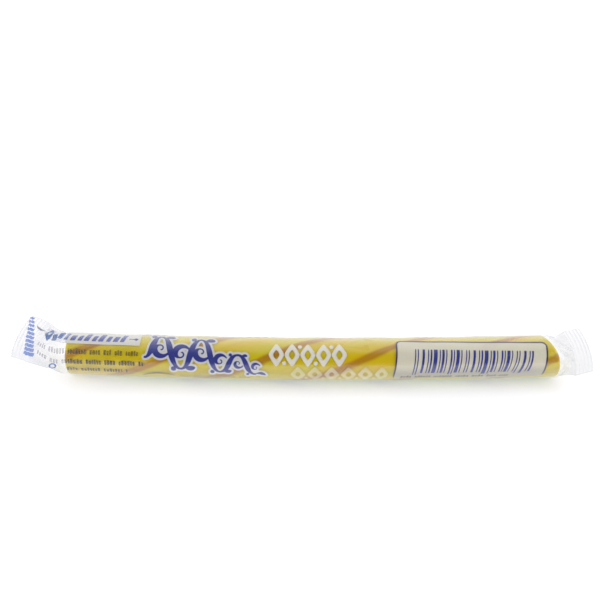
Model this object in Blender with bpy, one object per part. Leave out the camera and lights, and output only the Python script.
"""Candy stick in its clear wrapper, as one sealed pack.

Metres, +Z up. The stick lies along X. The origin is on the flat spot that the
pack rests on, under the middle of the stick. -Y is the printed front.

The pack is one lofted body. Along the stick, which is slightly bent, the film
is a round sleeve. Past each end of the stick it closes to a flat tail, which
ends in a crimped seal with a zigzag cut.

A place on the film is a station along the stick and a step round it. Step 0
is the front, and the steps count up over the top and down the back.
"""

from dataclasses import dataclass
from math import cos, pi, sin

import bmesh
import bpy

# Driving dimensions
STICK_LENGTH = 0.127
STICK_DIAMETER = 0.0110
STICK_BOW = 0.0022  # how far its ends lie behind its middle
FILM_STAND_OFF = 0.00025
RESTING_FLAT_DEPTH = 0.00017

# Tails
SEAL_THICKNESS = 0.0006
FOLD_BLUNTNESS = 2.5  # how soon the two faces part from each other at a fold
SEAL_LENGTH = 0.0040
CRIMP_PITCH = 0.0009
CRIMP_DEPTH = 0.0001
TOOTH_DEPTH = 0.0004
TEETH = 16
CORNER_SET_BACK = 0.0010
NECK_FULLNESS = 0.10
NECK_PUCKERS = 7
PUCKER_DEPTH = 0.00022

# Sleeve
SLACK_DEPTH = 0.00007
SLACK_WAVES_ALONG = 9
SLACK_WAVES_ROUND = 3
SLACK_SKEW = 1.3  # how far the waves lean round the sleeve, in radians
SLACK_FADE = 8  # the waves fade over one part in this many of the sleeve, at each end
SEAM_START = 218.0
SEAM_END = 250.0
SEAM_STEP = 0.00012

# Mesh
STEPS_ROUND = 64
RINGS_IN_SLEEVE = 26
RINGS_IN_NECK = 9
RINGS_PER_CRIMP = 2

SLEEVE_RADIUS = STICK_DIAMETER / 2 + FILM_STAND_OFF
AXIS_HEIGHT = SLEEVE_RADIUS - RESTING_FLAT_DEPTH
HALF_STICK = STICK_LENGTH / 2
TAIL_HALF_WIDTH = pi * SLEEVE_RADIUS / 2
FILM_COLOUR = (0.86, 0.74, 0.33, 1.0)


@dataclass(frozen=True)
class Tail:
    """One flattened end of the film."""

    side: int  # -1 at the left end, +1 at the right end
    neck_length: float  # from the stick's end to the middle of the seal's inner edge
    cut_skew: float  # how much longer the tail is at its far fold than at its near one
    fold_steps: int  # steps that the flat tail is turned about the stick's axis
    rise: float  # how far the tip curls up
    stick_slant: float  # how much shorter the stick is at its high, far edge

    @property
    def fold_angle(self):
        return 2 * pi * self.fold_steps / STEPS_ROUND


LEFT_TAIL = Tail(
    side=-1, neck_length=0.0090, cut_skew=-0.0005, fold_steps=-1, rise=0.0048, stick_slant=0.0004
)
RIGHT_TAIL = Tail(
    side=1, neck_length=0.0050, cut_skew=0.0012, fold_steps=-1, rise=0.0018, stick_slant=0.0033
)
SLANT_DIRECTION = 2 * pi * 119 / 360  # the high, far edge, where a stick is shortest
SLANT_SHARPNESS = 3


def ease(share):
    """Goes from 0 to 1 with no slope at either end."""
    share = min(max(share, 0.0), 1.0)
    return share * share * (3 - 2 * share)


def triangle_wave(turn):
    """Goes from 1 at turn 0 to -1 at half a turn, and back, in straight lines."""
    turn = turn % 1.0
    return 1 - 4 * turn if turn < 0.5 else 4 * turn - 3


def stick_end(tail, angle):
    """How far along X the film still lies on the stick, at this angle round it."""
    shorter = tail.stick_slant * ((1 + cos(angle - SLANT_DIRECTION)) / 2) ** SLANT_SHARPNESS
    return tail.side * (HALF_STICK - shorter)


def seam_height(angle):
    """The lapped seam stands proud of the sleeve by one more layer of film."""
    degrees = angle * 180 / pi
    return SEAM_STEP if SEAM_START <= degrees <= SEAM_END else 0.0


def slack(x, angle):
    """Slow waves of the loose film, which die out towards the resting side."""
    above_floor = ease(0.3 + 0.7 * sin(angle))
    along = sin(2 * pi * SLACK_WAVES_ALONG * x / STICK_LENGTH + SLACK_SKEW * sin(angle))
    return SLACK_DEPTH * above_floor * along * cos(SLACK_WAVES_ROUND * angle)


def on_section(y, z, x):
    """A point of the section at x, moved to the bent stick's axis and kept off the floor."""
    behind = STICK_BOW * (x / HALF_STICK) ** 2
    return (x, behind - y, max(z + AXIS_HEIGHT, 0.0))


def sleeve_point(share, step):
    """A point where the film lies round the stick. share runs from its left end to its right."""
    angle = 2 * pi * step / STEPS_ROUND
    left = stick_end(LEFT_TAIL, angle)
    right = stick_end(RIGHT_TAIL, angle)
    x = left + share * (right - left)
    inside = ease(min(share, 1 - share) * SLACK_FADE)
    radius = SLEEVE_RADIUS + seam_height(angle) + inside * slack(x, angle)
    return on_section(radius * cos(angle), radius * sin(angle), x)


def tail_point(tail, closing, beyond, step):
    """A point of a tail.

    closing goes from 0 at the stick's end to 1 at the seal, and beyond is how
    far into the seal the point is, in metres.
    """
    angle = 2 * pi * step / STEPS_ROUND
    from_fold = angle - tail.fold_angle
    start = stick_end(tail, angle)
    to_near_fold = triangle_wave(from_fold / (2 * pi))
    square_cut = tail.neck_length - to_near_fold * tail.cut_skew / 2
    seal_start = tail.side * (HALF_STICK + square_cut - CORNER_SET_BACK * to_near_fold**2)
    x = start + closing * (seal_start - start) + tail.side * beyond

    fullness = 1 + NECK_FULLNESS * sin(pi * closing)
    radius = (SLEEVE_RADIUS + seam_height(angle)) * (1 - closing) * fullness
    pucker = PUCKER_DEPTH * sin(pi * closing) * cos(NECK_PUCKERS * from_fold + tail.side)
    crimp = CRIMP_DEPTH * sin(2 * pi * beyond / CRIMP_PITCH)
    face = max(min(FOLD_BLUNTNESS * sin(from_fold), 1.0), -1.0)

    across = (radius + pucker) * cos(from_fold)
    across += closing * TAIL_HALF_WIDTH * to_near_fold
    up = (radius + pucker) * sin(from_fold) + closing * face * SEAL_THICKNESS / 2 + crimp
    y = across * cos(tail.fold_angle) - up * sin(tail.fold_angle)
    z = across * sin(tail.fold_angle) + up * cos(tail.fold_angle)

    reach = abs(x) - HALF_STICK
    curl = tail.rise * ease(reach / (tail.neck_length + SEAL_LENGTH))
    return on_section(y, z + curl, x)


def tooth(tail, step):
    """How far the zigzag cut sets this step of the last ring back."""
    across = triangle_wave((step - tail.fold_steps) / STEPS_ROUND)
    return TOOTH_DEPTH * abs(triangle_wave(across * TEETH / 4))


def tail_rings(tail):
    """The rings of a tail, from beside the stick to its cut end."""
    rings = []
    for ring in range(1, RINGS_IN_NECK + 1):
        closing = ring / RINGS_IN_NECK
        rings.append([tail_point(tail, closing, 0.0, step) for step in range(STEPS_ROUND)])
    seal_rings = round(RINGS_PER_CRIMP * SEAL_LENGTH / CRIMP_PITCH)
    for ring in range(1, seal_rings + 1):
        beyond = (ring - 0.5) / seal_rings * SEAL_LENGTH
        rings.append([tail_point(tail, 1.0, beyond, step) for step in range(STEPS_ROUND)])
    cut = [
        tail_point(tail, 1.0, SEAL_LENGTH + TOOTH_DEPTH - tooth(tail, step), step)
        for step in range(STEPS_ROUND)
    ]
    rings.append(cut)
    return rings


def sleeve_rings():
    """The rings round the stick, from its left end to its right."""
    shares = [ring / RINGS_IN_SLEEVE for ring in range(RINGS_IN_SLEEVE + 1)]
    return [[sleeve_point(share, step) for step in range(STEPS_ROUND)] for share in shares]


def close_cut_end(mesh, ring, tail):
    """Joins the two faces of the flat tail along its cut, from fold to fold."""
    half = STEPS_ROUND // 2
    for step in range(half):
        above = tail.fold_steps + step
        below = tail.fold_steps - step
        corners = [
            ring[above % STEPS_ROUND],
            ring[(above + 1) % STEPS_ROUND],
            ring[(below - 1) % STEPS_ROUND],
            ring[below % STEPS_ROUND],
        ]
        face = list(dict.fromkeys(corners))
        mesh.faces.new(face if tail.side < 0 else face[::-1])


def loft(mesh, rings):
    """Skins a list of rings, given from left to right, and returns their corners."""
    corners = [[mesh.verts.new(point) for point in ring] for ring in rings]
    for left, right in zip(corners, corners[1:]):
        for step in range(STEPS_ROUND):
            after = (step + 1) % STEPS_ROUND
            mesh.faces.new((left[step], right[step], right[after], left[after]))
    return corners


def film_material():
    """Glossy clear film over yellow candy."""
    material = bpy.data.materials.new("film_over_candy")
    material.use_nodes = True
    surface = material.node_tree.nodes["Principled BSDF"]
    surface.inputs["Base Color"].default_value = FILM_COLOUR
    surface.inputs["Roughness"].default_value = 0.12
    surface.inputs["Metallic"].default_value = 0.0
    return material


def wrapped_candy_stick(collection):
    """The sealed pack: the film sleeve full of candy, and its two flat tails."""
    rings = tail_rings(LEFT_TAIL)[::-1] + sleeve_rings() + tail_rings(RIGHT_TAIL)
    mesh = bmesh.new()
    corners = loft(mesh, rings)
    close_cut_end(mesh, corners[0], LEFT_TAIL)
    close_cut_end(mesh, corners[-1], RIGHT_TAIL)
    bmesh.ops.recalc_face_normals(mesh, faces=mesh.faces)
    data = bpy.data.meshes.new("wrapped_candy_stick")
    mesh.to_mesh(data)
    mesh.free()
    data.shade_smooth()
    data.set_sharp_from_angle(angle=pi / 4)
    pack = bpy.data.objects.new("wrapped_candy_stick", data)
    pack.data.materials.append(film_material())
    collection.objects.link(pack)
    return pack


def main():
    """Clears the scene and builds the pack in its own collection."""
    for thing in list(bpy.data.objects):
        bpy.data.objects.remove(thing)
    parts = bpy.data.collections.new("candy_stick")
    bpy.context.scene.collection.children.link(parts)
    wrapped_candy_stick(parts)


main()
